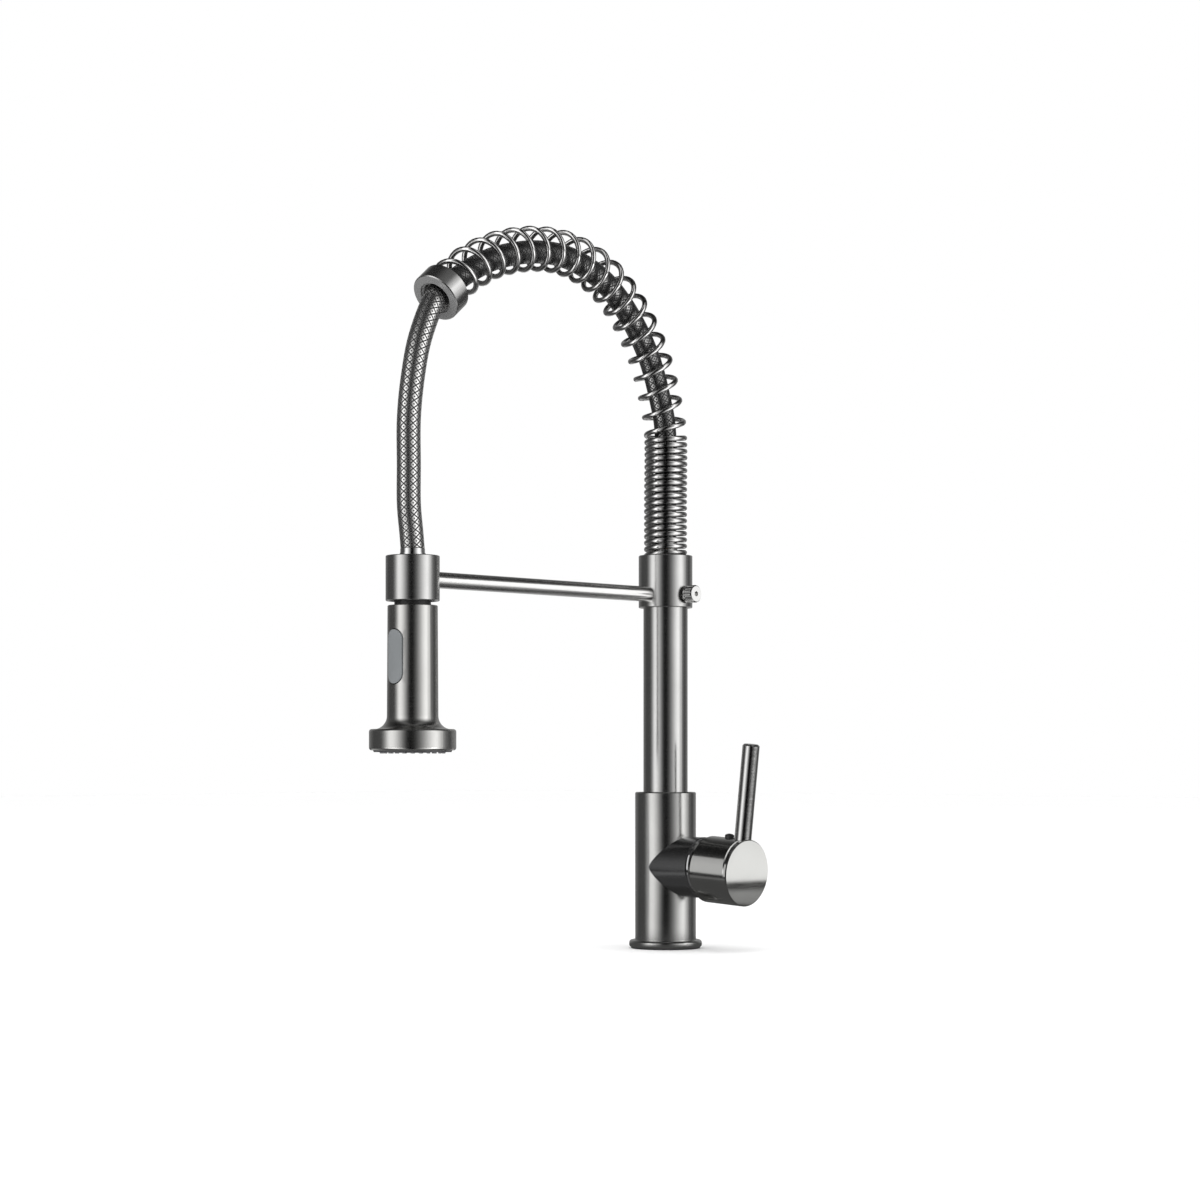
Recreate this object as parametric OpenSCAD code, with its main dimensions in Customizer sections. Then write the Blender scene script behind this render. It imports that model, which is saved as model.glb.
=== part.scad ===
// Pull down kitchen faucet with a spring neck, a single side lever and a docked spray head.
// The origin is the centre of the base on the deck, +Z is up, the spout points along -Y
// and the handle points along +X.

/* [Base] */
// Diameter of the base flange
flange_d = 46; // [44:0.5:54]
// Height of the base flange
flange_h = 5.2; // [4.6:0.2:7]
// Diameter of the valve body
body_d = 38.5; // [37.5:0.5:40]
// Height of the top of the valve body above the deck
body_top = 98.5; // [96:0.5:110]
// Outer diameter of the threaded shank under the deck
shank_d = 32; // [31:0.5:33]
// Length of the shank below the deck
shank_l = 58; // [52:1:80]

/* [Valve] */
// Height of the cartridge axis above the deck
valve_z = 51.5; // [49:0.5:52.5]
// Diameter of the side housing that holds the cartridge
housing_d = 38; // [36:0.5:38]
// Distance from the body axis to the end of the side housing
housing_end = 33; // [32.8:0.1:33.2]
// Diameter of the cartridge
cartridge_d = 25; // [24.5:0.5:26]

/* [Handle] */
// Diameter of the handle hub
hub_d = 41.5; // [41:0.5:43]
// Distance from the body axis to the skirt of the hub
hub_start = 38; // [37.6:0.1:38.4]
// Distance from the body axis to the end face of the hub
hub_end = 67; // [65:0.5:72]
// Diameter of the lever
lever_d = 10.6; // [8:0.2:10.8]
// Length of the lever outside the hub
lever_l = 59; // [40:1:90]
// Outward lean of the lever from the square of the hub, in degrees
lever_lean = 3; // [0:0.5:6]
// How far the handle stands open, in degrees
handle_open = 3.5; // [0:0.5:12]

/* [Riser and holder] */
// Diameter of the riser tube
riser_d = 28; // [27.5:0.5:28]
// Height of the bottom of the holder collar
collar_z = 215; // [205:1:215]
// Diameter of the holder collar
collar_d = 34; // [33:0.5:38]
// Height of the holder arm
arm_z = 223; // [220:0.5:226]
// Diameter of the holder arm
arm_d = 9.5; // [8:0.5:10]
// Distance from the riser axis to the spray head axis
reach = 220; // [216:1:224]
// Outer diameter of the dock ring
dock_d = 31; // [30:0.2:34]

/* [Spring and hose] */
// Outer diameter of the spring
spring_d = 27.4; // [26.4:0.2:27.4]
// Diameter of the spring wire
wire_d = 3.2; // [2.6:0.1:3.4]
// Number of close turns at the bottom of the spring
close_turns = 20.5; // [19:0.5:20.5]
// Number of open turns over the arch
open_turns = 20.5; // [16:0.5:22]
// Outer diameter of the braided hose
hose_d = 13.8; // [12:0.2:14]
// Outer diameter of the ring at the end of the spring
end_ring_d = 30.4; // [30.4:0.2:33]

/* [Spray head] */
// Height of the top of the spray head barrel
head_top = 207.5; // [206:0.5:207.5]
// Diameter of the barrel at its top
barrel_d = 28.8; // [28:0.2:29.2]
// Diameter of the wide disc at the bottom
disc_d = 50; // [49:0.2:56]
// Height of the wide disc
disc_h = 12.2; // [12:0.2:12.6]
// Height of the mode button
button_h = 30.8; // [26:0.2:31.2]
// Width of the mode button
button_w = 11; // [9:0.2:11.4]
// How far the mode button stands proud of the barrel
button_proud = 0.7; // [0.4:0.1:0.9]

/* [Hidden] */
$fn = 96;
run = 0.05;
body_r = body_d / 2;
riser_r = riser_d / 2;
riser_low = 67;
riser_top = 236;
collar_top = 248;
spring_z = 240;
pivot_x = 25;
// Centre line of the coil, given as distance from the riser and height.
arch = [
    [0, 240], [0, 282], [0, 324], [5, 346], [16, 373], [34, 397], [58, 416],
    [88, 426], [119, 426], [152, 418], [176, 406], [190, 396], [202, 386]
];
// Centre line of the hose in the coil, where it lies low over the top of the arch.
hose_arch = [
    [0, 240], [0, 282], [0, 324], [5, 346], [16.3, 372.8], [34.7, 396.3], [58.7, 414.7],
    [88.3, 424.2], [118.8, 424.2], [151.4, 416.3], [175.3, 405], [189.6, 395.5], [202, 386]
];
hose_tail = [[214, 362], [220, 338], [223, 314], [223, 288], [223, 266], [221, 249], [220, 240]];
head_y = -reach;
disc_z = 124.4;
flare_z = disc_z + disc_h;
flare_r = 21.2;
flare_h = 7.6;
barrel_low_r = barrel_d / 2 + 0.35;
button_z = 177.9;
pin_y = 10.5;
port_d = 4.4;
disc_off = 2;
disc_rise = 8.7 * handle_open * PI / 180;

// ---------- shared shapes ----------

// Hollow cylinder standing on z = 0.
module tube(d, bore, h) {
    difference() {
        cylinder(d = d, h = h);
        translate([0, 0, -1])
            cylinder(d = bore, h = h + 2);
    }
}

// Solid disc whose outer edges are rounded by e.
module soft_disc(d, h, e) {
    rotate_extrude()
        union() {
            square([d / 2 - e, h]);
            translate([0, e])
                square([d / 2, h - 2 * e]);
            translate([d / 2 - e, e])
                circle(r = e, $fn = 32);
            translate([d / 2 - e, h - e])
                circle(r = e, $fn = 32);
        }
}

// Round seal of middle radius r and section diameter s.
module seal(r, s) {
    rotate_extrude()
        translate([r, 0])
            circle(d = s, $fn = 24);
}

// Puts a shape drawn along +Z onto the cartridge axis, starting at distance x.
module on_valve(x) {
    translate([x, 0, valve_z])
        rotate([0, 90, 0])
            children();
}

// Puts a shape onto the axis of the spray head.
module on_head(z) {
    translate([0, head_y, z])
        children();
}

// Grub screw of diameter d and length h with a hexagon socket in its top.
module grub(d, h, key) {
    difference() {
        cylinder(d = d, h = h, $fn = 48);
        translate([0, 0, h - d / 2])
            cylinder(d = key, h = d, $fn = 6);
    }
}

// ---------- centre line of the spring and hose ----------

// Point of a smooth curve through b and c, with a and d as its neighbours.
function blend_point(a, b, c, d, t) =
    0.5 * ((2 * b) + (c - a) * t + (2 * a - 5 * b + 4 * c - d) * t * t
        + (3 * b - a - 3 * c + d) * t * t * t);

// Smooth line through the points p, n steps for each span.
function smooth_line(p, n) = concat(
    [for (i = [0 : len(p) - 2], k = [0 : n - 1])
        blend_point(p[max(i - 1, 0)], p[i], p[i + 1], p[min(i + 2, len(p) - 1)], k / n)],
    [p[len(p) - 1]]
);

// Running length at each point of the line p.
function lengths(p, i = 0, s = 0, out = []) =
    i >= len(p) ? out
    : lengths(p, i + 1, i + 1 < len(p) ? s + norm(p[i + 1] - p[i]) : s, concat(out, [s]));

// Number of the span of the lengths l that holds the length s.
function span_of(l, s, a, b) =
    b - a <= 1 ? a
    : let (m = floor((a + b) / 2)) (l[m] > s ? span_of(l, s, a, m) : span_of(l, s, m, b));

// Point of the line p, with lengths l, at the length s.
function point_at(p, l, s) =
    let (i = span_of(l, s, 0, len(l) - 1), t = (s - l[i]) / (l[i + 1] - l[i]))
    p[i] * (1 - t) + p[i + 1] * t;

// Unit direction of the line p, with lengths l, near the length s.
function heading_at(p, l, s) =
    let (e = 1, v = point_at(p, l, min(s + e, l[len(l) - 1] - 0.01))
        - point_at(p, l, max(s - e, 0)))
    v / norm(v);

arch_line = smooth_line(arch, 8);
arch_len = lengths(arch_line);
arch_total = arch_len[len(arch_len) - 1];
hose_line = smooth_line(concat(hose_arch, hose_tail), 8);
hose_len = lengths(hose_line);
hose_total = hose_len[len(hose_len) - 1];
hose_from = 18;
hose_rings = 64;
end_ring_l = 11.5;
end_ring_s = arch_total - end_ring_l;
end_ring_at = point_at(arch_line, arch_len, end_ring_s + end_ring_l / 2);
end_ring_way = heading_at(arch_line, arch_len, end_ring_s + end_ring_l / 2);
spring_r = (spring_d - wire_d) / 2;
spring_from = wire_d / 2 + 0.1;
close_pitch = 4;
close_end = spring_from + close_turns * close_pitch;
spring_to = end_ring_s + 6;
all_turns = close_turns + open_turns;
last_turns = 1;
wide_turns = open_turns - last_turns;
wide_l = spring_to - last_turns * close_pitch - close_end;
open_pitch = 0.95 * wide_l / wide_turns;
open_growth = (wide_l - open_pitch * wide_turns) / pow(wide_turns, 2);

// Length along the arch that the coil has reached after t turns. It is close wound at both ends.
function coil_s(t) =
    let (u = t - close_turns)
    u < 0 ? spring_from + t * close_pitch
    : u < wide_turns ? close_end + u * open_pitch + pow(u, 2) * open_growth
    : spring_to - (all_turns - t) * close_pitch;

// Place of the wire's centre after t turns, a right-hand coil around the arch.
function coil_point(t) =
    let (s = coil_s(t), c = point_at(arch_line, arch_len, s),
        h = heading_at(arch_line, arch_len, s), n = [0, h[1], h[0]])
    [0, -c[0], c[1]] + spring_r * (cos(360 * t) * [1, 0, 0] + sin(360 * t) * n);

// Ring of points of radius r about p, square to the direction t, starting towards e.
function ring_points(p, t, e, r, sides) =
    let (u = e - t * (e * t), a = u / norm(u), b = cross(t, a))
    [for (k = [0 : sides - 1])
        p + r * (cos(360 * k / sides) * a + sin(360 * k / sides) * b)];

// Closed solid through a list of point rings.
module skin(rings) {
    n = len(rings[0]);
    m = len(rings);
    polyhedron(
        points = [for (ring = rings, p = ring) p],
        faces = concat(
            [[for (k = [0 : n - 1]) k]],
            [[for (k = [n - 1 : -1 : 0]) (m - 1) * n + k]],
            [for (i = [0 : m - 2], k = [0 : n - 1])
                [i * n + k, (i + 1) * n + k, (i + 1) * n + (k + 1) % n]],
            [for (i = [0 : m - 2], k = [0 : n - 1])
                [i * n + k, (i + 1) * n + (k + 1) % n, i * n + (k + 1) % n]]
        )
    );
}

// ---------- deck fixing ----------

// Flat rubber ring between the flange and the deck.
module base_gasket() {
    color("#1c1c1c")
        tube(flange_d - 2.4, shank_d + 2.4, 1);
}

// Rounded metal flange that covers the deck hole.
module base_flange() {
    color("#5a5a5a")
        difference() {
            translate([0, 0, 0.3])
                soft_disc(flange_d, flange_h - 0.3, 1.9);
            translate([0, 0, -1])
                cylinder(d = shank_d + 0.6, h = flange_h + 2);
            translate([0, 0, -1])
                tube(flange_d - 2.2, shank_d + 2, 2);
        }
}

// Threaded tube with a plain end that clamps the faucet to the deck, open for the supply hoses.
module mounting_shank() {
    color("#b9975b")
        difference() {
            translate([0, 0, -shank_l])
                union() {
                    translate([0, 0, 10])
                        cylinder(d = shank_d, h = shank_l + 2);
                    translate([0, 0, 1])
                        cylinder(d = shank_d - 1, h = 10);
                    cylinder(d1 = shank_d - 3, d2 = shank_d - 1, h = 1);
                }
            translate([0, 0, -shank_l - 1])
                cylinder(d = shank_d - 6.4, h = shank_l + 14);
        }
}

// Rubber washer that presses on the underside of the deck.
module deck_washer_rubber() {
    color("#1c1c1c")
        translate([0, 0, -33])
            tube(56, shank_d + 0.8, 3);
}

// Steel washer between the rubber washer and the nut.
module deck_washer_steel() {
    color("#a8a8a8")
        translate([0, 0, -35])
            tube(54, shank_d + 0.8, 2);
}

// Hexagon nut that draws the shank down.
module lock_nut() {
    color("#b9975b")
        translate([0, 0, -47])
            difference() {
                union() {
                    cylinder(d = 52, h = 12, $fn = 6);
                    translate([0, 0, 9])
                        cylinder(d = 50, h = 3);
                }
                translate([0, 0, -1])
                    cylinder(d = shank_d + 0.1, h = 14);
            }
}

// ---------- valve body ----------

// Upright body with the side housing for the cartridge.
module valve_body() {
    color("#575757")
        difference() {
            union() {
                translate([0, 0, flange_h])
                    cylinder(d = body_d, h = body_top - flange_h - 0.6);
                translate([0, 0, body_top - 0.6])
                    cylinder(d1 = body_d, d2 = body_d - 1.2, h = 0.6);
                on_valve(0)
                    cylinder(d = housing_d, h = housing_end - 0.5);
                on_valve(housing_end - 0.5)
                    cylinder(d1 = housing_d, d2 = housing_d - 1, h = 0.5);
            }
            translate([0, 0, -1])
                cylinder(d = shank_d + 0.1, h = 13);
            for (side = [-1, 1])
                translate([0, side * 6.2, 5])
                    cylinder(d = 10, h = 25, $fn = 48);
            for (side = [-1, 1])
                translate([3, side * 5.2, valve_z - 24])
                    cylinder(d = port_d, h = 27, $fn = 48);
            for (side = [-1, 1])
                translate([3, side * 5.2, valve_z + 3])
                    rotate([0, 90, 0])
                        cylinder(d = port_d, h = 6, $fn = 48);
            on_valve(-6)
                translate([3.6, 0, 0])
                    cylinder(d = port_d, h = 14, $fn = 48);
            translate([-6, 0, valve_z - 5])
                cylinder(d = 5, h = riser_low + 6 - valve_z, $fn = 48);
            on_valve(6)
                cylinder(d = cartridge_d + 0.1, h = housing_end);
            on_valve(27)
                cylinder(d = 29, h = housing_end);
            translate([0, 0, riser_low])
                cylinder(d = riser_d + 2 * run, h = body_top);
            translate([0, 0, 90])
                cylinder(d = 32, h = body_top);
            translate([0, 0, 85])
                rotate([-90, 0, 0])
                    cylinder(d = 4.1, h = body_d, $fn = 48);
        }
}

// Plastic sleeve that guides the riser at the top of the body.
module swivel_bushing() {
    color("#3a3a3a")
        translate([0, 0, 90])
            tube(32, riser_d + 2 * run, body_top - 90.3);
}

// Grub screw at the back whose tip runs in a groove of the riser.
module riser_set_screw() {
    color("#8c8c8c")
        translate([0, 13.3, 85])
            rotate([-90, 0, 0])
                grub(4, body_r - 13.8, 2);
}

// ---------- cartridge ----------

// Places of the outlet port and the two inlet ports in the cartridge floor.
module at_ports() {
    translate([3.6, 0, 0])
        children();
    for (turn = [120, 240])
        rotate([0, 0, turn])
            translate([6, 0, 0])
                children();
}

// Cup of the cartridge, with two inlet ports and one outlet port in its floor.
module cartridge_body() {
    color("#d8d8d4")
        on_valve(6)
            difference() {
                cylinder(d = cartridge_d, h = 21);
                translate([0, 0, 2.4])
                    cylinder(d = cartridge_d - 4.2, h = 20);
                at_ports()
                    translate([0, 0, -1])
                        cylinder(d = port_d, h = 6, $fn = 48);
            }
}

// Three seals under the ports of the fixed disc.
module cartridge_seals() {
    color("#1c1c1c")
        on_valve(8.4)
            at_ports()
                tube(6.4, port_d, 0.8);
}

// Fixed ceramic disc with its three ports.
module fixed_disc() {
    color("#f2f2ee")
        on_valve(9.2)
            difference() {
                cylinder(d = cartridge_d - 4.4, h = 2.8);
                at_ports()
                    translate([0, 0, -1])
                        cylinder(d = port_d, h = 6, $fn = 48);
            }
}

// Moving ceramic disc with the mixing hollow in its face.
module moving_disc() {
    color("#e8e8e4")
        translate([12, 0, valve_z - disc_off + disc_rise])
            rotate([0, 90, 0])
                difference() {
                    cylinder(d = 15, h = 2.6);
                    translate([0, 0, -1])
                        cylinder(d = 10, h = 2.2);
                }
}

// Plastic driver on the moving disc, slotted for the tip of the stem.
module disc_driver() {
    color("#3f6f9f")
        difference() {
            translate([14.6, 0, valve_z - disc_off + disc_rise])
                rotate([0, 90, 0])
                    cylinder(d = 14, h = 2.2);
            translate([14, -2.4, valve_z - 3 + disc_rise])
                cube([4, 4.8, 6]);
        }
}

// Turning carrier that holds the stem and turns with the temperature setting.
module stem_carrier() {
    color("#e4e4e0")
        difference() {
            on_valve(17.2)
                cylinder(d = cartridge_d - 4.3, h = 12);
            translate([16, -3.3, valve_z - 7])
                cube([14, 6.6, 14]);
            translate([pivot_x, 0, valve_z])
                rotate([90, 0, 0])
                    cylinder(d = 2.5, h = 40, center = true, $fn = 48);
        }
}

// Steel pin that the stem tilts on.
module stem_pin() {
    color("#b0b0b0")
        translate([pivot_x, 0, valve_z])
            rotate([90, 0, 0])
                cylinder(d = 2.5, h = 19, center = true, $fn = 48);
}

// Square stem with a round tip below its pin.
module cartridge_stem() {
    color("#c8c8c8")
        on_tilt()
            difference() {
                union() {
                    translate([pivot_x - 1, -3, valve_z - 3])
                        cube([32, 6, 6]);
                    translate([pivot_x, 0, valve_z])
                        rotate([90, 0, 0])
                            cylinder(r = 3.4, h = 6, center = true, $fn = 48);
                    on_valve(15)
                        cylinder(d = 4, h = 9, $fn = 48);
                }
                translate([pivot_x, 0, valve_z])
                    rotate([90, 0, 0])
                        cylinder(d = 2.6, h = 20, center = true, $fn = 48);
            }
}

// Threaded ring that holds the cartridge down.
module retaining_nut() {
    color("#b9975b")
        on_valve(27)
            difference() {
                cylinder(d = 29, h = housing_end - 27);
                translate([0, 0, -1])
                    cylinder(d = 17.4, h = 8);
                translate([0, 0, -1])
                    cylinder(d = 21.4, h = 3.6);
            }
}

// Polished ring that closes the housing behind the hub.
module dome_ring() {
    color("#c9c9c6")
        on_valve(housing_end)
            difference() {
                union() {
                    cylinder(d = housing_d - 1.4, h = 1.3);
                    translate([0, 0, 1.3])
                        cylinder(d1 = housing_d - 1.4, d2 = housing_d - 2.4, h = 0.5);
                    translate([0, 0, 1.8])
                        cylinder(d1 = 31, d2 = 27.6, h = 1.4);
                }
                translate([0, 0, -1])
                    cylinder(d1 = 16.6, d2 = 21.6, h = 5);
            }
}

// ---------- handle ----------

// Tilts the handle about the pin of the stem, to where it stands open.
module on_tilt() {
    translate([pivot_x, 0, valve_z])
        rotate([0, handle_open, 0])
            translate([-pivot_x, 0, -valve_z])
                children();
}

// Direction of the lever, standing in the top of the hub.
module on_lever(z) {
    translate([hub_end - 5.8, 0, valve_z])
        rotate([0, lever_lean, 0])
            translate([0, 0, z])
                children();
}

// Round hub with a hollow skirt, the stem socket and a flat end face.
module handle_hub() {
    color("#4a4a4a")
        on_tilt()
            difference() {
                union() {
                    on_valve(hub_start)
                        cylinder(d = hub_d, h = hub_end - hub_start - 0.6);
                    on_valve(hub_end - 0.6)
                        cylinder(d1 = hub_d, d2 = hub_d - 1.2, h = 0.6);
                }
                on_valve(hub_start - 1)
                    cylinder(d = hub_d - 2.4, h = 44 - hub_start + 1);
                translate([43, -3.05, valve_z - 3.05])
                    cube([14, 6.1, 6.1]);
                translate([hub_end - 15.5, 0, valve_z])
                    cylinder(d = 5, h = hub_d, $fn = 48);
                translate([hub_end - 15.5, 0, valve_z + hub_d / 2 - 5])
                    cylinder(d = 5.9, h = hub_d, $fn = 48);
                on_lever(hub_d / 2 - 9)
                    cylinder(d = 7, h = 20, $fn = 48);
            }
}

// Slim lever with a bevelled top and a spigot that sits in the hub.
module lever_rod() {
    color("#6a6a6a")
        on_tilt()
            union() {
                on_lever(hub_d / 2 - 9)
                    cylinder(d = 6.9, h = 9.6, $fn = 48);
                difference() {
                    on_lever(hub_d / 2 - 2)
                        cylinder(d = lever_d, h = lever_l + 1);
                    on_valve(hub_start)
                        cylinder(d = hub_d + 0.1, h = hub_end);
                }
                on_lever(hub_d / 2 + lever_l - 1)
                    cylinder(d1 = lever_d, d2 = lever_d - 2, h = 1);
            }
}

// Grub screw that locks the hub to the stem.
module hub_screw() {
    color("#8c8c8c")
        on_tilt()
            translate([hub_end - 15.5, 0, valve_z + 3.05])
                grub(4.9, 8, 2.5);
}

// Small domed plug that covers the grub screw.
module index_plug() {
    color("#3c3c3c")
        on_tilt()
            translate([hub_end - 15.5, 0, valve_z + hub_d / 2 - 5])
                intersection() {
                    cylinder(d = 5.8, h = 9, $fn = 48);
                    translate([0, 0, 2.9])
                        sphere(r = 4.7, $fn = 64);
                }
}

// ---------- riser ----------

// Straight tube from the valve body to the collar, with two seal grooves near its foot.
module riser_tube() {
    color("#6e6e6e")
        difference() {
            translate([0, 0, riser_low + 0.5])
                cylinder(d = riser_d, h = riser_top - riser_low - 0.5);
            translate([0, 0, riser_low])
                cylinder(d = riser_d - 6, h = riser_top);
            for (z = [71.5, 77])
                translate([0, 0, z - 1.1])
                    tube(riser_d + 2, riser_d - 3.6, 2.2);
            translate([0, 0, 82.8])
                tube(riser_d + 2, riser_d - 2.4, 4.4);
            translate([0, 0, riser_top - 14])
                cylinder(d = 23, h = 16);
        }
}

// Two round seals in the grooves of the riser.
module riser_seals() {
    color("#1c1c1c")
        for (z = [71.5, 77])
            translate([0, 0, z])
                seal(riser_r - 0.88, 1.8);
}

// Brass nozzle screwed into the top of the riser, with a collar that clears the ledge.
module riser_adapter() {
    color("#b9975b")
        translate([0, 0, riser_top - 13.5])
            difference() {
                union() {
                    cylinder(d = 23, h = 13.5);
                    translate([0, 0, 13.5])
                        cylinder(d = 20, h = 4);
                    translate([0, 0, 17.5])
                        cylinder(d = 12, h = 7, $fn = 48);
                }
                translate([0, 0, -1])
                    cylinder(d = 7, h = 30, $fn = 48);
            }
}

// Flat seal on top of the riser adapter.
module adapter_seal() {
    color("#1c1c1c")
        translate([0, 0, riser_top + 11])
            tube(12, 7, 1.4);
}

// ---------- holder ----------

// Collar that slips over the riser, carries the arm and seats the foot of the spring.
module holder_collar() {
    color("#626262")
        difference() {
            union() {
                translate([0, 0, collar_z])
                    cylinder(d1 = collar_d - 0.8, d2 = collar_d, h = 0.4);
                translate([0, 0, collar_z + 0.4])
                    cylinder(d = collar_d, h = collar_top - collar_z - 0.8);
                translate([0, 0, collar_top - 0.4])
                    cylinder(d1 = collar_d, d2 = collar_d - 0.8, h = 0.4);
            }
            translate([0, 0, collar_z - 1])
                cylinder(d = riser_d + 2 * run, h = riser_top + 1.4 - collar_z + 0.6);
            translate([0, 0, collar_z])
                cylinder(d = 21.4, h = 60);
            translate([0, 0, spring_z])
                cylinder(d = spring_d + 0.6, h = 20);
            translate([0, 0, arm_z])
                rotate([0, 90, 0])
                    cylinder(d = 5, h = 30, $fn = 48);
            translate([0, 0, arm_z])
                rotate([90, 0, 0])
                    cylinder(d = 6, h = 30, $fn = 48);
        }
}

// Knurled thumb screw that clamps the collar on the riser, with a hexagon socket in its end.
module clamp_screw() {
    color("#7a7a7a")
        translate([0, 0, arm_z])
            rotate([0, 90, 0])
                difference() {
                    union() {
                        translate([0, 0, riser_r + 0.1])
                            cylinder(d = 4.9, h = 6, $fn = 48);
                        translate([0, 0, collar_d / 2 + 0.4])
                            cylinder(d = 7, h = 2, $fn = 48);
                        translate([0, 0, collar_d / 2 + 2])
                            cylinder(d = 11, h = 6);
                        translate([0, 0, collar_d / 2 + 8])
                            cylinder(d1 = 11, d2 = 9.6, h = 0.7);
                    }
                    for (turn = [0 : 24 : 336])
                        rotate([0, 0, turn])
                            translate([5.85, 0, collar_d / 2 + 2.8])
                                cylinder(d = 1.4, h = 10, $fn = 24);
                    translate([0, 0, collar_d / 2 + 5.7])
                        cylinder(d = 3.5, h = 5, $fn = 6);
                }
}

// Straight rod from the collar to the dock ring, with a spigot at each end.
module holder_arm() {
    color("#6a6a6a")
        translate([0, 0, arm_z])
            rotate([90, 0, 0])
                union() {
                    translate([0, 0, riser_r + 0.4])
                        cylinder(d = 6, h = reach - riser_r - dock_d / 2 + 1.4, $fn = 48);
                    difference() {
                        translate([0, 0, riser_r + 1.2])
                            cylinder(d = arm_d, h = reach - riser_r - dock_d / 2 - 0.4, $fn = 64);
                        rotate([-90, 0, 0])
                            translate([0, 0, -20])
                                cylinder(d = collar_d + 0.1, h = 40);
                        rotate([-90, 0, 0])
                            translate([0, -reach, -20])
                                cylinder(d = dock_d + 0.1, h = 40);
                    }
                }
}

// Ring at the end of the arm that the spray head hangs from.
module dock_ring() {
    color("#606060")
        difference() {
            on_head(210)
                union() {
                    cylinder(d1 = dock_d - 0.8, d2 = dock_d, h = 0.4);
                    translate([0, 0, 0.4])
                        cylinder(d = dock_d, h = 25.2);
                    translate([0, 0, 25.6])
                        cylinder(d1 = dock_d, d2 = dock_d - 0.8, h = 0.4);
                }
            on_head(209)
                cylinder(d = dock_d - 4.6, h = 30);
            translate([0, 0, arm_z])
                rotate([90, 0, 0])
                    translate([0, 0, reach - 20])
                        cylinder(d = 6, h = 10, $fn = 48);
        }
}

// Plastic liner of the dock ring, widened at its foot for the neck of the spray head.
module dock_liner() {
    color("#2a2a2a")
        on_head(210.6)
            difference() {
                cylinder(d = dock_d - 4.7, h = 24.8);
                translate([0, 0, -1])
                    cylinder(d = 18.6, h = 30);
                translate([0, 0, -0.01])
                    cylinder(d1 = 22.6, d2 = 22, h = 4);
            }
}

// ---------- spring and hose ----------

// Coil that is close wound above the collar and open over the arch.
module spring() {
    steps = 12;
    color("#777777")
        skin([for (i = [0 : all_turns * steps])
            let (t = i / steps, p = coil_point(t),
                q = coil_point(min(t + 0.01, all_turns)) - coil_point(max(t - 0.01, 0)),
                c = point_at(arch_line, arch_len, coil_s(t)))
            ring_points(p, q / norm(q), p - [0, -c[0], c[1]], wire_d / 2, 6)]);
}

// Turned ring that holds the end of the spring over the hose.
module spring_end_ring() {
    color("#8a8a8a")
        translate([0, -end_ring_at[0], end_ring_at[1]])
            rotate([atan2(end_ring_way[0], end_ring_way[1]), 0, 0])
                translate([0, 0, -end_ring_l / 2])
                    difference() {
                        union() {
                            cylinder(d = end_ring_d, h = end_ring_l - 0.5);
                            translate([0, 0, end_ring_l - 0.5])
                                cylinder(d1 = end_ring_d, d2 = end_ring_d - 1, h = 0.5);
                        }
                        translate([0, 0, -1])
                            cylinder(d = 18, h = end_ring_l + 2);
                        translate([0, 0, end_ring_l - 1.2])
                            cylinder(d = 20.4, h = 2);
                        translate([0, 0, -1])
                            tube(end_ring_d - 1.8, 19.4, end_ring_l - 1.8);
                        translate([0, 0, -1])
                            cylinder(d = 20, h = 2.5);
                    }
}

// Braided hose from the riser, through the spring and the end ring, to the spray head.
module hose() {
    color("#9a9a9a")
        skin([for (i = [0 : hose_rings - 1])
            let (s = hose_from + (hose_total - 0.02 - hose_from) * i / (hose_rings - 1),
                c = point_at(hose_line, hose_len, s),
                h = heading_at(hose_line, hose_len, s),
                way = i == 0 || i == hose_rings - 1 ? [0, 0, i == 0 ? 1 : -1]
                    : [0, -h[0], h[1]])
            ring_points([0, -c[0], c[1]], way, [1, 0, 0], hose_d / 2, 12)]);
}

// Union nut that holds the foot of the hose on the adapter.
module hose_base_nut() {
    color("#b9975b")
        translate([0, 0, 240.5])
            difference() {
                cylinder(d = 18, h = 9.5, $fn = 6);
                translate([0, 0, -1])
                    cylinder(d = 12.1, h = 12, $fn = 48);
            }
}

// Crimped sleeve at the foot of the hose.
module hose_base_ferrule() {
    color("#b5b5b5")
        translate([0, 0, 250])
            difference() {
                cylinder(d = 15, h = 8);
                translate([0, 0, -1])
                    cylinder(d = 8, h = 12, $fn = 48);
            }
}

// Crimped sleeve at the head end of the hose, slim enough to pass the dock liner.
module hose_end_ferrule() {
    color("#c4c4c4")
        on_head(220)
            difference() {
                union() {
                    cylinder(d = 14.2, h = 20);
                    for (z = [3, 9, 14.5])
                        translate([0, 0, z])
                            cylinder(d = 14.8, h = 3);
                }
                translate([0, 0, -1])
                    cylinder(d = 8, h = 24, $fn = 48);
            }
}

// Turning nipple between the hose and the spray head.
module hose_nipple() {
    color("#b9975b")
        on_head(200)
            difference() {
                union() {
                    cylinder(d = 14, h = 1.6, $fn = 48);
                    translate([0, 0, 1.6])
                        cylinder(d = 11, h = 12.4, $fn = 48);
                    translate([0, 0, 14])
                        cylinder(d = 15, h = 6, $fn = 64);
                }
                translate([0, 0, -1])
                    cylinder(d = 8, h = 24, $fn = 48);
            }
}

// ---------- spray head ----------

// Cap with the neck that seats in the dock and holds the turning nipple.
module spray_cap() {
    color("#3a3a3a")
        on_head(0)
            difference() {
                union() {
                    translate([0, 0, 202])
                        cylinder(d = 23.1, h = head_top - 202 + 0.3);
                    translate([0, 0, head_top + 0.3])
                        cylinder(d = 21, h = 5);
                }
                translate([0, 0, 190])
                    cylinder(d = 11.2, h = 40, $fn = 48);
            }
}

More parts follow.
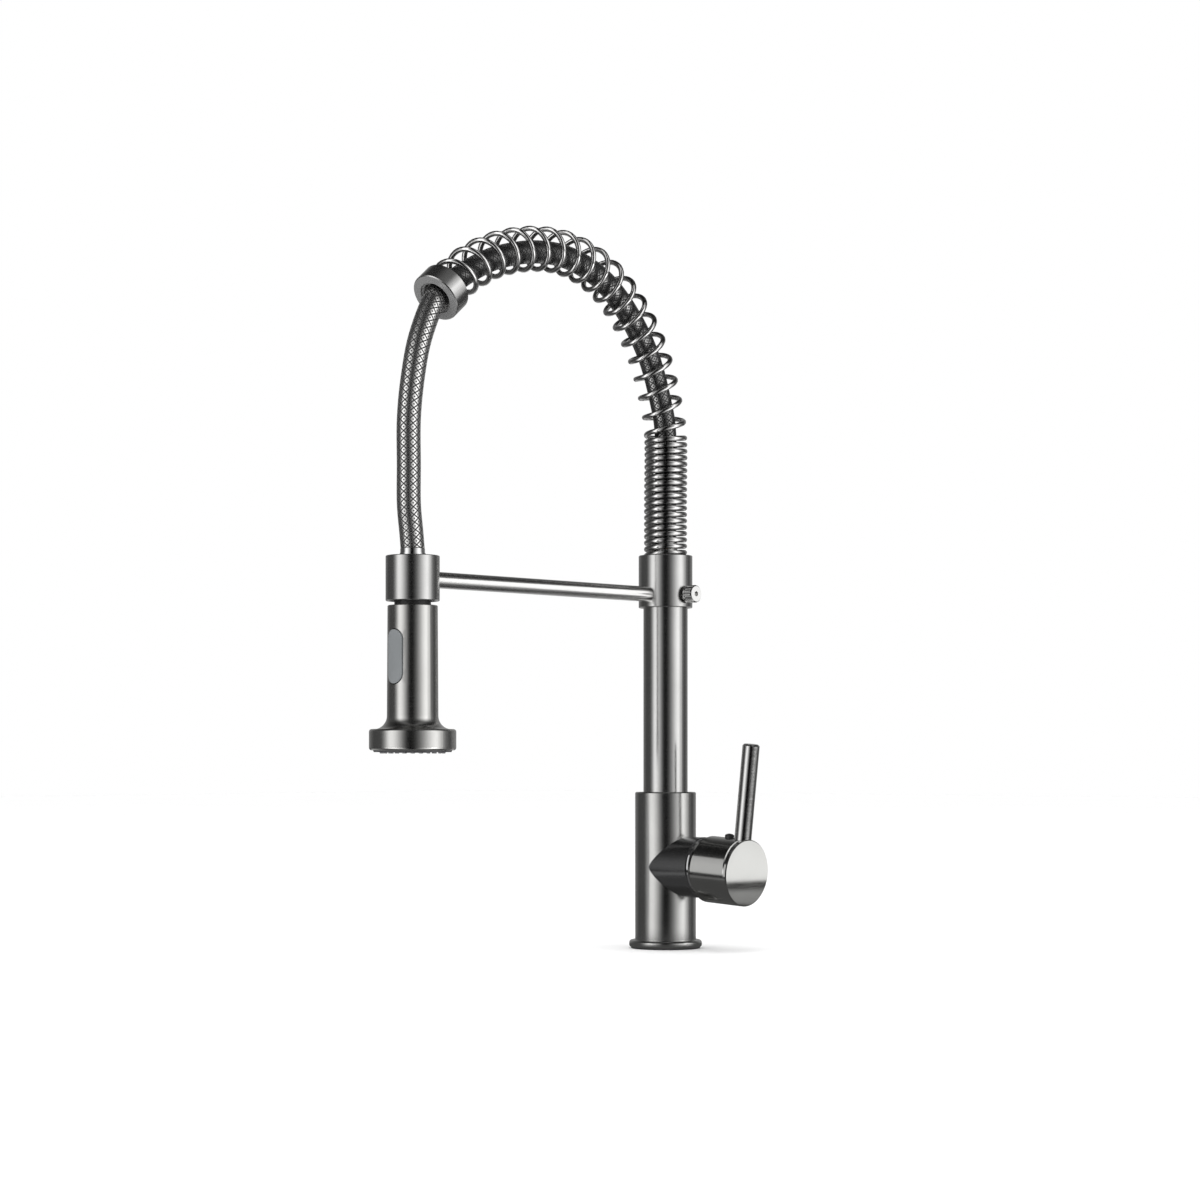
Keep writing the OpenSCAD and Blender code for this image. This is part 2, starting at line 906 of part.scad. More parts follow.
// Slim barrel that flares out over the wide disc, with the window for the button.
module spray_body() {
    flare_r0 = (flare_h * flare_h + pow(flare_r - barrel_low_r, 2))
        / (2 * (flare_r - barrel_low_r));
    color("#7c7c7c")
        on_head(0)
            difference() {
                union() {
                    translate([0, 0, flare_z + flare_h])
                        cylinder(r1 = barrel_low_r, r2 = barrel_d / 2,
                            h = head_top - flare_z - flare_h - 0.4);
                    translate([0, 0, head_top - 0.4])
                        cylinder(r1 = barrel_d / 2, r2 = barrel_d / 2 - 0.4, h = 0.4);
                    rotate_extrude()
                        difference() {
                            translate([0, flare_z])
                                square([flare_r, flare_h]);
                            translate([barrel_low_r + flare_r0, flare_z + flare_h])
                                circle(r = flare_r0, $fn = 128);
                        }
                }
                translate([0, 0, flare_z - 1])
                    cylinder(d = 23.2, h = 100);
                translate([0, 0, button_z])
                    rotate([90, 0, 0])
                        linear_extrude(height = 30)
                            stadium(button_w + 1.2, button_h + 1.2);
                translate([0, -pin_y, button_z])
                    rotate([0, 90, 0])
                        cylinder(d = 2, h = 17, center = true, $fn = 32);
            }
}

// Upright slot shape with round ends.
module stadium(w, h) {
    union() {
        square([w, h - w], center = true);
        for (side = [-1, 1])
            translate([0, side * (h - w) / 2])
                circle(d = w, $fn = 64);
    }
}

// Water tube inside the barrel with a side boss for the plunger.
module waterway() {
    color("#c9c9c5")
        on_head(0)
            difference() {
                union() {
                    translate([0, 0, 138])
                        cylinder(d = 12, h = 60, $fn = 64);
                    translate([0, 0, 190])
                        cylinder(d = 18, h = 8);
                    translate([0, 0, 195.4])
                        cylinder(d = 22.8, h = 2.6);
                    translate([0, 0, 132.6])
                        cylinder(d = 22.7, h = 8);
                    translate([0, 0, 167])
                        rotate([90, 0, 0])
                            cylinder(d = 9, h = 9.4, $fn = 64);
                }
                translate([0, 0, 132])
                    cylinder(d = 7, h = 80, $fn = 48);
                translate([0, 0, 192.4])
                    cylinder(d = 15, h = 10, $fn = 64);
                translate([0, 0, 167])
                    rotate([90, 0, 0])
                        cylinder(d = 5.1, h = 20, $fn = 48);
            }
}

// Non-return valve pressed into the top of the waterway.
module check_valve() {
    color("#e6e6e2")
        on_head(192.4)
            difference() {
                cylinder(d = 15, h = 5.4, $fn = 64);
                translate([0, 0, 2])
                    cylinder(d = 10, h = 6, $fn = 48);
                for (turn = [0 : 60 : 300])
                    rotate([0, 0, turn])
                        translate([2.6, 0, -1])
                            cylinder(d = 1.6, h = 6, $fn = 24);
            }
}

// Seal between the waterway and the nipple.
module spray_seal() {
    color("#1c1c1c")
        on_head(198.1)
            tube(14, 8.4, 1.7);
}

// Rocking button with a lug on the pin.
module mode_button() {
    color("#85898c")
        on_head(0)
            difference() {
                union() {
                    intersection() {
                        translate([0, 0, button_z])
                            rotate([90, 0, 0])
                                linear_extrude(height = 30)
                                    stadium(button_w, button_h);
                        translate([0, 0, button_z - 20])
                            tube(barrel_d + 2 * button_proud, 24.4, 40);
                    }
                    translate([-3.5, -12.6, button_z - 1.9])
                        cube([7, 2.1, 3.8]);
                    translate([0, -pin_y, button_z])
                        rotate([0, 90, 0])
                            cylinder(d = 3.8, h = 7, center = true, $fn = 48);
                }
                translate([0, -pin_y, button_z])
                    rotate([0, 90, 0])
                        cylinder(d = 2.1, h = 20, center = true, $fn = 32);
            }
}

// Pin that the mode button rocks on.
module button_pin() {
    color("#b0b0b0")
        on_head(button_z)
            translate([0, -pin_y, 0])
                rotate([0, 90, 0])
                    cylinder(d = 2, h = 16.6, center = true, $fn = 32);
}

// Plunger that the lower end of the button pushes to change the spray.
module mode_plunger() {
    color("#2a2a2a")
        on_head(167)
            rotate([90, 0, 0])
                difference() {
                    translate([0, 0, 4.6])
                        cylinder(d = 5, h = 7.1, $fn = 48);
                    translate([0, 0, 6])
                        tube(7, 3.8, 1.4);
                }
}

// Wide rounded disc that holds the nozzles.
module spray_disc() {
    color("#808080")
        on_head(disc_z)
            difference() {
                soft_disc(disc_d, disc_h, 1.6);
                translate([0, 0, -1])
                    cylinder(d = disc_d - 4.4, h = 4);
                translate([0, 0, 2.9])
                    cylinder(d = disc_d - 8, h = 5.3);
                translate([0, 0, 2])
                    cylinder(d = 22.8, h = 20);
            }
}

// Places of the spray nozzles, in two rings.
module at_nozzles() {
    for (turn = [0 : 22.5 : 337.5])
        rotate([0, 0, turn])
            translate([12.8, 0, 0])
                children();
    for (turn = [0 : 15 : 345])
        rotate([0, 0, turn])
            translate([18, 0, 0])
                children();
}

// Dark face plate with holes for the nozzles and the aerator.
module nozzle_plate() {
    color("#202020")
        on_head(disc_z - 1)
            difference() {
                union() {
                    cylinder(d1 = disc_d - 5.6, d2 = disc_d - 4.6, h = 1);
                    translate([0, 0, 1])
                        cylinder(d = disc_d - 4.6, h = 2.8);
                }
                translate([0, 0, -1])
                    cylinder(d = 16.1, h = 6);
                at_nozzles()
                    translate([0, 0, -1])
                        cylinder(d = 2, h = 6, $fn = 24);
            }
}

// Soft rubber nozzles that stand through the face plate.
module spray_nozzles() {
    color("#4a4a4a")
        on_head(disc_z - 1.8)
            at_nozzles()
                union() {
                    cylinder(d1 = 1.3, d2 = 2, h = 0.8, $fn = 24);
                    translate([0, 0, 0.8])
                        cylinder(d = 2, h = 3.6, $fn = 24);
                }
}

// Round insert in the middle of the face that shapes the straight stream.
module aerator_housing() {
    color("#303030")
        on_head(disc_z - 1.4)
            difference() {
                cylinder(d = 16, h = 8.8, $fn = 64);
                translate([0, 0, -1])
                    cylinder(d = 13, h = 8, $fn = 64);
                for (turn = [0 : 60 : 300])
                    rotate([0, 0, turn])
                        translate([4, 0, 4])
                            cylinder(d = 2.4, h = 8, $fn = 24);
            }
}

// Fine screen inside the aerator.
module aerator_screen() {
    color("#9c9c9c")
        on_head(disc_z - 0.4)
            intersection() {
                cylinder(d = 13, h = 1, $fn = 64);
                union() {
                    tube(13, 11.6, 1);
                    for (k = [-2 : 2]) {
                        translate([k * 2.2 - 0.4, -7, 0])
                            cube([0.8, 14, 1]);
                        translate([-7, k * 2.2 - 0.4, 0])
                            cube([14, 0.8, 1]);
                    }
                }
            }
}

base_gasket();
base_flange();
mounting_shank();
deck_washer_rubber();
deck_washer_steel();
lock_nut();
valve_body();
cartridge_body();
cartridge_seals();
fixed_disc();
moving_disc();
disc_driver();
stem_carrier();
stem_pin();
cartridge_stem();
retaining_nut();
dome_ring();
handle_hub();
lever_rod();
hub_screw();
index_plug();
riser_tube();
riser_seals();
swivel_bushing();
riser_set_screw();
riser_adapter();
adapter_seal();
holder_collar();
clamp_screw();
holder_arm();
dock_ring();
dock_liner();
spring();
spring_end_ring();
hose();
hose_base_nut();
hose_base_ferrule();
hose_end_ferrule();
hose_nipple();
spray_cap();
spray_body();
waterway();
check_valve();
mode_button();
button_pin();
mode_plunger();
spray_disc();
nozzle_plate();
spray_nozzles();
aerator_housing();
aerator_screen();
spray_seal();
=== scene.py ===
import math

import bmesh
import bpy
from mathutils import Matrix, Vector


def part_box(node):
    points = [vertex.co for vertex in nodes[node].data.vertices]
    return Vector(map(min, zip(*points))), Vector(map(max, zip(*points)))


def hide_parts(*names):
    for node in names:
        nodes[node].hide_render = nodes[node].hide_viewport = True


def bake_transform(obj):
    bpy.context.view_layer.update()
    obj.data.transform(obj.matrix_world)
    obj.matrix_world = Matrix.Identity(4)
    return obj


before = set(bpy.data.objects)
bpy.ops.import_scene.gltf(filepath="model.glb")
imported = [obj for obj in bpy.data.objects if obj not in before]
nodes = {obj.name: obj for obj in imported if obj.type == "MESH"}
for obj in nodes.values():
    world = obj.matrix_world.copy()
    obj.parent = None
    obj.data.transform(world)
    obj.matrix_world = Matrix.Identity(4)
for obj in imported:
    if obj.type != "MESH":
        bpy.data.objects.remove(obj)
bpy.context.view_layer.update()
MM = 0.001

# ---------- camera ----------

CAM_AZ = math.radians(42.6)
CAM_BACK = Vector((math.sin(CAM_AZ), -math.cos(CAM_AZ), 0.0))
CAM_RIGHT = Vector((math.cos(CAM_AZ), math.sin(CAM_AZ), 0.0))
CAM_DISTANCE, CAM_ASIDE, CAM_HEIGHT = 1.710, 0.0415, 0.120

cam_data = bpy.data.cameras.new("camera")
cam_data.lens = 81.0
cam_data.sensor_width = 36.0
cam_data.shift_y = 0.1317
cam_data.clip_end = 20.0
cam = bpy.data.objects.new("camera", cam_data)
bpy.context.scene.collection.objects.link(cam)
cam.location = CAM_BACK * CAM_DISTANCE - CAM_RIGHT * CAM_ASIDE + Vector((0.0, 0.0, CAM_HEIGHT))
cam.rotation_euler = (math.radians(90.0), 0.0, CAM_AZ)
bpy.context.scene.camera = cam
bpy.context.scene.view_settings.view_transform = "Standard"

# ---------- centre line shared by the spring and the hose ----------

# Distance from the riser and height, in millimetres: the same routes as in the CAD.
ARCH = [(0, 240), (0, 282), (0, 324), (5, 346), (16, 373), (34, 397), (58, 416),
        (88, 426), (119, 426), (152, 418), (176, 406), (190, 396), (202, 386)]
HOSE_ARCH = [(0, 240), (0, 282), (0, 324), (5, 346), (16.3, 372.8), (34.7, 396.3),
             (58.7, 414.7), (88.3, 424.2), (118.8, 424.2), (151.4, 416.3), (175.3, 405),
             (189.6, 395.5), (202, 386)]
HOSE_TAIL = [(214, 362), (220, 338), (223, 314), (223, 288), (223, 266), (221, 249), (220, 240)]
LINE_STEPS = 24


def smooth_line(points, steps):
    """Catmull-Rom line through the points, as in the CAD."""
    p = [Vector(q) for q in points]
    out = []
    for i in range(len(p) - 1):
        a, b, c, d = p[max(i - 1, 0)], p[i], p[i + 1], p[min(i + 2, len(p) - 1)]
        for k in range(steps):
            t = k / steps
            out.append(0.5 * (2 * b + (c - a) * t + (2 * a - 5 * b + 4 * c - d) * t * t
                              + (3 * b - a - 3 * c + d) * t ** 3))
    return out + [p[-1]]


class Line:
    """A plane line that can be read by length along it."""

    def __init__(self, points, steps):
        self.p = smooth_line(points, steps)
        self.s = [0.0]
        for a, b in zip(self.p, self.p[1:]):
            self.s.append(self.s[-1] + (b - a).length)
        self.total = self.s[-1]

    def at(self, s):
        """Point at length s."""
        s = min(max(s, 0.0), self.total)
        low, high = 0, len(self.s) - 1
        while high - low > 1:
            middle = (low + high) // 2
            if self.s[middle] > s:
                high = middle
            else:
                low = middle
        t = (s - self.s[low]) / (self.s[high] - self.s[low])
        return self.p[low] * (1 - t) + self.p[high] * t

    def heading(self, s):
        """Direction at length s."""
        return (self.at(s + 1.0) - self.at(s - 1.0)).normalized()


def to_world(p):
    """World place, in metres, of a distance and height pair in millimetres."""
    return Vector((0.0, -p[0], p[1])) * MM


arch = Line(ARCH, LINE_STEPS)
hose_line = Line(HOSE_ARCH + HOSE_TAIL, LINE_STEPS)
# The hose shows from the top of its foot sleeve, this far along its line.
HOSE_FROM = 18.0
seen_line = hose_line.total - HOSE_FROM

# ---------- shader nodes ----------

EVEN = (1.0, 1.0, 1.0)


def new_material(name):
    """Empty material with its nodes and links."""
    material = bpy.data.materials.new(name)
    material.use_nodes = True
    material.node_tree.nodes.clear()
    return material, material.node_tree.nodes, material.node_tree.links


def add_node(ns, kind, **values):
    """New node with its settings."""
    made = ns.new(kind)
    for key, value in values.items():
        setattr(made, key, value)
    return made


def feed(ls, socket, value):
    """Link a socket to another one, or set it to a constant."""
    if isinstance(value, bpy.types.NodeSocket):
        ls.new(value, socket)
    else:
        socket.default_value = value


def maths(ns, ls, operation, *values):
    """Result of an operation on sockets and numbers."""
    made = add_node(ns, "ShaderNodeMath", operation=operation)
    for socket, value in zip(made.inputs, values):
        feed(ls, socket, value)
    return made.outputs[0]


def vector_maths(ns, ls, operation, *values):
    """Result of an operation on vectors, which is a vector, a length or a dot product."""
    made = add_node(ns, "ShaderNodeVectorMath", operation=operation)
    for socket, value in zip(made.inputs, values):
        feed(ls, socket, value)
    return made.outputs["Value" if operation in ("LENGTH", "DOT_PRODUCT") else "Vector"]


def parts_of(ns, ls, vector):
    """X, Y and Z of a vector."""
    split = add_node(ns, "ShaderNodeSeparateXYZ")
    ls.new(vector, split.inputs[0])
    return split.outputs[0], split.outputs[1], split.outputs[2]


def place_from(ns, ls, origin):
    """Place on the object, seen from the origin."""
    coords = add_node(ns, "ShaderNodeTexCoord")
    return vector_maths(ns, ls, "SUBTRACT", coords.outputs["Object"], origin)


def noise(ns, ls, scale, detail, stretch=EVEN):
    """Noise over the object, stretched where its grain runs across an axis."""
    coords = add_node(ns, "ShaderNodeTexCoord")
    mapping = add_node(ns, "ShaderNodeMapping")
    mapping.inputs["Scale"].default_value = stretch
    ls.new(coords.outputs["Object"], mapping.inputs["Vector"])
    made = add_node(ns, "ShaderNodeTexNoise")
    made.inputs["Scale"].default_value = scale
    made.inputs["Detail"].default_value = detail
    ls.new(mapping.outputs["Vector"], made.inputs["Vector"])
    return made.outputs["Fac"]


def ramp(ns, ls, fac, low, high, start=0.3, stop=0.7):
    """Number from low to high as fac goes from start to stop."""
    made = add_node(ns, "ShaderNodeMapRange")
    made.inputs["From Min"].default_value = start
    made.inputs["From Max"].default_value = stop
    made.inputs["To Min"].default_value = low
    made.inputs["To Max"].default_value = high
    ls.new(fac, made.inputs["Value"])
    return made.outputs["Result"]


def colour_mix(ns, ls, fac, a, b):
    """Colour from a to b as fac goes from 0 to 1; each is a colour or a socket."""
    made = add_node(ns, "ShaderNodeMix", data_type="RGBA")
    for side, colour in (("A", a), ("B", b)):
        linked = isinstance(colour, bpy.types.NodeSocket)
        feed(ls, made.inputs[side], colour if linked else (*colour, 1.0))
    ls.new(fac, made.inputs["Factor"])
    return made.outputs["Result"]


def bump(ns, ls, height, strength, distance, under=None):
    """Relief from a height, over another relief where there is one."""
    made = add_node(ns, "ShaderNodeBump")
    made.inputs["Strength"].default_value = strength
    made.inputs["Distance"].default_value = distance
    ls.new(height, made.inputs["Height"])
    if under:
        ls.new(under, made.inputs["Normal"])
    return made.outputs["Normal"]


def principled(ns, ls, sockets):
    """Surface of the material, with a value or a link for each named socket."""
    bsdf = add_node(ns, "ShaderNodeBsdfPrincipled")
    for name, value in sockets.items():
        feed(ls, bsdf.inputs[name], value)
    out = add_node(ns, "ShaderNodeOutputMaterial")
    ls.new(bsdf.outputs["BSDF"], out.inputs["Surface"])


# ---------- materials ----------

# Stretch of the grain that turning and brushing leave, fine along the named axis.
ALONG_X = (5200.0, 60.0, 60.0)
ALONG_Y = (60.0, 5200.0, 60.0)
ALONG_Z = (60.0, 60.0, 5200.0)
ROUND_HUB = (5200.0, 60.0, 2600.0)
CLOUDS = 45.0
GRAIN_STRENGTH, GRAIN_DEPTH = 0.05, 0.00003
EDGE = 0.0001


def satin_gloss(ns, ls, lines, rough):
    """Roughness that varies a little with the grain."""
    return ramp(ns, ls, lines, rough - 0.03, rough + 0.04)


def satin_layers(ns, ls, dark, light, rough, grain):
    """Colour, gloss and relief of satin plating: fine lines across the axis and cloudy tone."""
    lines = noise(ns, ls, 1.0, 3.0, grain)
    clouds = noise(ns, ls, CLOUDS, 3.0)
    tone = maths(ns, ls, "MULTIPLY_ADD", lines, 0.5, ramp(ns, ls, clouds, 0.0, 0.5))
    relief = bump(ns, ls, lines, GRAIN_STRENGTH, GRAIN_DEPTH)
    return colour_mix(ns, ls, tone, dark, light), satin_gloss(ns, ls, lines, rough), relief


def brushed_metal(name, dark, light, rough, grain):
    """Satin plated metal."""
    material, ns, ls = new_material(name)
    colour, gloss, relief = satin_layers(ns, ls, dark, light, rough, grain)
    principled(ns, ls, {"Metallic": 1.0, "Base Color": colour, "Roughness": gloss, "Normal": relief})
    return material


def housed_body(name, dark, light, rough, axis_height, housing_radius, housing):
    """Satin plated body whose side housing, round the hub's axis, gets a darker base colour: painted
    shade standing in for the dark reflection it shows.
    """
    material, ns, ls = new_material(name)
    colour, gloss, relief = satin_layers(ns, ls, dark, light, rough, ALONG_Z)
    from_axis = place_from(ns, ls, (0.0, 0.0, axis_height))
    along = parts_of(ns, ls, from_axis)[0]
    across = vector_maths(ns, ls, "MULTIPLY", from_axis, (0.0, 1.0, 1.0))
    radius = vector_maths(ns, ls, "LENGTH", across)
    near = ramp(ns, ls, radius, 1.0, 0.0, housing_radius, housing_radius + EDGE)
    beside = ramp(ns, ls, along, 0.0, 1.0, 0.0, MM)
    # Painted shade: inside this mask the housing colour is darker, standing in for its dark
    # reflection.
    colour = colour_mix(ns, ls, maths(ns, ls, "MULTIPLY", near, beside), colour, housing)
    principled(ns, ls, {"Metallic": 1.0, "Base Color": colour, "Roughness": gloss, "Normal": relief})
    return material


def faced_ring(name, dark, light, rough, way, face):
    """Satin plated ring whose end face, looking along way, is cut matt and grey."""
    material, ns, ls = new_material(name)
    colour, gloss, relief = satin_layers(ns, ls, dark, light, rough, ALONG_Z)
    geometry = add_node(ns, "ShaderNodeNewGeometry")
    turned = vector_maths(ns, ls, "DOT_PRODUCT", geometry.outputs["Normal"], way)
    start_facing, full_facing = 0.9, 0.97
    facing = ramp(ns, ls, turned, 0.0, 1.0, start_facing, full_facing)
    principled(ns, ls, {"Metallic": ramp(ns, ls, facing, 1.0, 0.3, 0.0, 1.0),
                        "Base Color": colour_mix(ns, ls, facing, colour, face),
                        "Roughness": gloss, "Normal": relief})
    return material


def crowned_face(name, dark, light, rough, crown):
    """Satin metal of the hub, its end face crowned a little from top to bottom."""
    material, ns, ls = new_material(name)
    low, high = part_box("handle_hub")
    crown_drop, crown_start, crown_full = 0.005, -0.004, -0.003
    crown_centre = (high.x, 0.0, (low.z + high.z) / 2 - crown_drop)
    inward, _, rise = parts_of(ns, ls, place_from(ns, ls, crown_centre))
    on_face = ramp(ns, ls, inward, 0.0, -crown, crown_start, crown_full)
    height = maths(ns, ls, "MULTIPLY", maths(ns, ls, "MULTIPLY", rise, rise), on_face)
    lines = noise(ns, ls, 1.0, 3.0, ROUND_HUB)
    clouds = noise(ns, ls, CLOUDS, 3.0)
    relief = bump(ns, ls, lines, GRAIN_STRENGTH, GRAIN_DEPTH, bump(ns, ls, height, 1.0, 1.0))
    principled(ns, ls, {"Metallic": 1.0, "Base Color": colour_mix(ns, ls, clouds, dark, light),
                        "Roughness": satin_gloss(ns, ls, lines, rough), "Normal": relief})
    return material


def plain_metal(name, dark, light, rough, scale=300.0, strength=0.08):
    """Machined or polished metal with faint cloudy tone."""
    material, ns, ls = new_material(name)
    grain = noise(ns, ls, scale, 3.0)
    principled(ns, ls, {
        "Metallic": 1.0,
        "Base Color": colour_mix(ns, ls, ramp(ns, ls, grain, 0.0, 1.0), dark, light),
        "Roughness": ramp(ns, ls, grain, rough - 0.04, rough + 0.05),
        "Normal": bump(ns, ls, grain, strength, 0.00005)})
    return material


def moulded(name, dark, light, rough, scale=900.0, strength=0.25, specular=0.5):
    """Moulded plastic or rubber with a fine spark texture and slight tone change."""
    material, ns, ls = new_material(name)
    fine = noise(ns, ls, scale, 4.0)
    wide = noise(ns, ls, 60.0, 2.0)
    principled(ns, ls, {
        "Specular IOR Level": specular,
        "Base Color": colour_mix(ns, ls, ramp(ns, ls, wide, 0.0, 1.0), dark, light),
        "Roughness": ramp(ns, ls, fine, rough - 0.06, rough + 0.08),
        "Normal": bump(ns, ls, fine, strength, 0.00008)})
    return material


def braid_material(name, carriers, crossings, bare):
    """Steel braid: ribbons over and under each other, dark in the gaps, with painted shade darkening
    it up to bare along it, where the spring covers it.
    """
    wires_a_ribbon, wire_height, painted_spring_shade = 5.0, 0.06, 0.28
    material, ns, ls = new_material(name)
    uv = add_node(ns, "ShaderNodeUVMap", uv_map="around_along")
    turned, gone, _ = parts_of(ns, ls, uv.outputs[0])

    def half_waves(number, waves=1.0):
        """Sine that crosses nought at every whole number."""
        return maths(ns, ls, "SINE", maths(ns, ls, "MULTIPLY", number, waves * math.pi))

    around = maths(ns, ls, "MULTIPLY", turned, float(carriers))
    along = maths(ns, ls, "MULTIPLY", gone, float(crossings))
    rising = maths(ns, ls, "ADD", around, along)
    falling = maths(ns, ls, "SUBTRACT", around, along)
    ridge_rising = maths(ns, ls, "ABSOLUTE", half_waves(rising))
    ridge_falling = maths(ns, ls, "ABSOLUTE", half_waves(falling))
    squares = maths(ns, ls, "MULTIPLY", half_waves(around), half_waves(along))
    falling_on_top = maths(ns, ls, "GREATER_THAN", squares, 0.0)
    pick = add_node(ns, "ShaderNodeMix", data_type="FLOAT")
    ls.new(falling_on_top, pick.inputs["Factor"])
    ls.new(ridge_rising, pick.inputs["A"])
    ls.new(ridge_falling, pick.inputs["B"])
    height = pick.outputs["Result"]
    wires = half_waves(maths(ns, ls, "MULTIPLY", rising, falling_on_top), wires_a_ribbon)
    level = maths(ns, ls, "MULTIPLY_ADD", wires, wire_height, height)
    both = maths(ns, ls, "MAXIMUM", ridge_rising, ridge_falling)
    ribbon = ramp(ns, ls, maths(ns, ls, "MULTIPLY", both, height), 0.0, 1.0, 0.3, 0.8)
    # Painted shade: the braid is darkened along the part of the hose that lies inside the spring
    # coil.
    shade = ramp(ns, ls, gone, painted_spring_shade, 1.0, bare - 0.01, bare)
    tone = maths(ns, ls, "MULTIPLY", ribbon, shade)
    principled(ns, ls, {
        "Base Color": colour_mix(ns, ls, tone, (0.02, 0.02, 0.021), (0.86, 0.855, 0.84)),
        "Roughness": ramp(ns, ls, ribbon, 0.5, 0.17, 0.0, 1.0),
        "Metallic": ramp(ns, ls, ribbon, 0.2, 1.0, 0.0, 0.5),
        "Normal": bump(ns, ls, level, 0.22, 0.0003)})
    return material


HUB_AXIS_HEIGHT, HOUSING_RADIUS = 0.0515, 0.01903
ring_way = to_world(arch.heading(arch.total)).normalized()

satin = brushed_metal("satin_upright", (0.54, 0.538, 0.53), (0.64, 0.637, 0.63), 0.19, ALONG_Z)
satin_arm = brushed_metal("satin_arm", (0.52, 0.518, 0.51), (0.62, 0.617, 0.61), 0.2, ALONG_Y)
satin_screw = brushed_metal("satin_screw", (0.56, 0.557, 0.55), (0.66, 0.657, 0.65), 0.18, ALONG_X)
# The last colour (0.36) is painted shade on the housing, darker than the body metal round it.
body_metal = housed_body("satin_body", (0.52, 0.518, 0.508), (0.62, 0.617, 0.605), 0.2,
                         HUB_AXIS_HEIGHT, HOUSING_RADIUS, (0.36, 0.36, 0.365))
hub_metal = crowned_face("satin_hub", (0.50, 0.50, 0.485), (0.58, 0.58, 0.565), 0.14, 8.0)
lever_metal = brushed_metal("satin_lever", (0.64, 0.637, 0.63), (0.74, 0.737, 0.73), 0.13, ALONG_Z)
spray_metal = brushed_metal("satin_spray", (0.55, 0.545, 0.53), (0.65, 0.645, 0.63), 0.19, ALONG_Z)
ring_metal = faced_ring("satin_ring", (0.52, 0.517, 0.51), (0.62, 0.617, 0.61), 0.2,
                        ring_way, (0.26, 0.26, 0.26))
spring_metal = plain_metal("spring_wire", (0.54, 0.535, 0.53), (0.66, 0.655, 0.65), 0.12, 700.0)
chrome = plain_metal("bright_chrome", (0.72, 0.72, 0.72), (0.85, 0.85, 0.85), 0.1, 500.0, 0.03)
steel = plain_metal("plain_steel", (0.50, 0.50, 0.50), (0.68, 0.68, 0.67), 0.28)
brass = plain_metal("machined_brass", (0.52, 0.36, 0.15), (0.72, 0.53, 0.27), 0.3)
rubber = moulded("black_rubber", (0.012, 0.012, 0.012), (0.03, 0.03, 0.03), 0.62)
nozzle_rubber = moulded("nozzle_rubber", (0.10, 0.10, 0.105), (0.16, 0.16, 0.165), 0.6)
black_plastic = moulded("black_plastic", (0.02, 0.02, 0.02), (0.04, 0.04, 0.04), 0.42)
face_plastic = moulded("face_plastic", (0.03, 0.03, 0.032), (0.055, 0.055, 0.058), 0.4)
button_plastic = moulded("button_plastic", (0.165, 0.175, 0.18), (0.19, 0.2, 0.207), 0.5,
                         scale=1400.0, strength=0.15, specular=0.3)
white_plastic = moulded("white_plastic", (0.70, 0.70, 0.66), (0.80, 0.80, 0.76), 0.4)
blue_plastic = moulded("blue_plastic", (0.05, 0.13, 0.30), (0.08, 0.18, 0.38), 0.4)
ceramic = moulded("white_ceramic", (0.78, 0.78, 0.75), (0.86, 0.86, 0.83), 0.15)
CARRIERS, CROSSINGS = 16, 224
braid = braid_material("steel_braid", CARRIERS, CROSSINGS, (arch.total - HOSE_FROM) / seen_line)

LOOKS = {
    satin: ["riser_tube", "holder_collar", "dock_ring"],
    body_metal: ["valve_body", "base_flange", "retaining_nut"],
    satin_arm: ["holder_arm"],
    satin_screw: ["clamp_screw"],
    hub_metal: ["handle_hub"],
    spray_metal: ["spray_body", "spray_disc"],
    lever_metal: ["lever_rod"],
    ring_metal: ["spring_end_ring"],
    chrome: ["dome_ring", "hose_end_ferrule"],
    steel: ["deck_washer_steel", "stem_pin", "cartridge_stem", "hub_screw", "riser_set_screw",
            "hose_base_ferrule", "button_pin", "aerator_screen"],
    brass: ["mounting_shank", "lock_nut", "riser_adapter", "hose_base_nut", "hose_nipple"],
    rubber: ["base_gasket", "deck_washer_rubber", "cartridge_seals", "riser_seals",
             "adapter_seal", "spray_seal"],
    nozzle_rubber: ["spray_nozzles"],
    black_plastic: ["index_plug", "swivel_bushing", "dock_liner", "spray_cap", "mode_plunger"],
    face_plastic: ["nozzle_plate", "aerator_housing"],
    button_plastic: ["mode_button"],
    white_plastic: ["cartridge_body", "stem_carrier", "waterway", "check_valve"],
    blue_plastic: ["disc_driver"],
    ceramic: ["fixed_disc", "moving_disc"],
}
for material, names in LOOKS.items():
    for name in names:
        nodes[name].data.materials.clear()
        nodes[name].data.materials.append(material)

# ---------- swept pieces ----------


def swept(name, centres, headings, starts, radius, sides, material):
    """Round solid along the centres; each ring starts towards its own side vector."""
    bm = bmesh.new()
    layer = bm.loops.layers.uv.new("around_along")
    rings = []
    for centre, heading, start in zip(centres, headings, starts):
        u = (start - heading * start.dot(heading)).normalized()
        v = heading.cross(u)
        turns_round = [2 * math.pi * k / sides for k in range(sides)]
        rings.append([bm.verts.new(centre + radius * (math.cos(a) * u + math.sin(a) * v))
                      for a in turns_round])
    last = len(rings) - 1
    for i in range(last):
        for k in range(sides):
            n = (k + 1) % sides
            face = bm.faces.new((rings[i][k], rings[i][n], rings[i + 1][n], rings[i + 1][k]))
            face.smooth = True
            corners = ((k, i), (k + 1, i), (k + 1, i + 1), (k, i + 1))
            for loop, (around, along) in zip(face.loops, corners):
                loop[layer].uv = (around / sides, along / last)
    bm.faces.new(list(reversed(rings[0])))
    bm.faces.new(rings[-1])
    mesh = bpy.data.meshes.new(name)
    bm.to_mesh(mesh)
    bm.free()
    obj = bpy.data.objects.new(name, mesh)
    bpy.context.scene.collection.objects.link(obj)
    mesh.materials.append(material)
    return obj


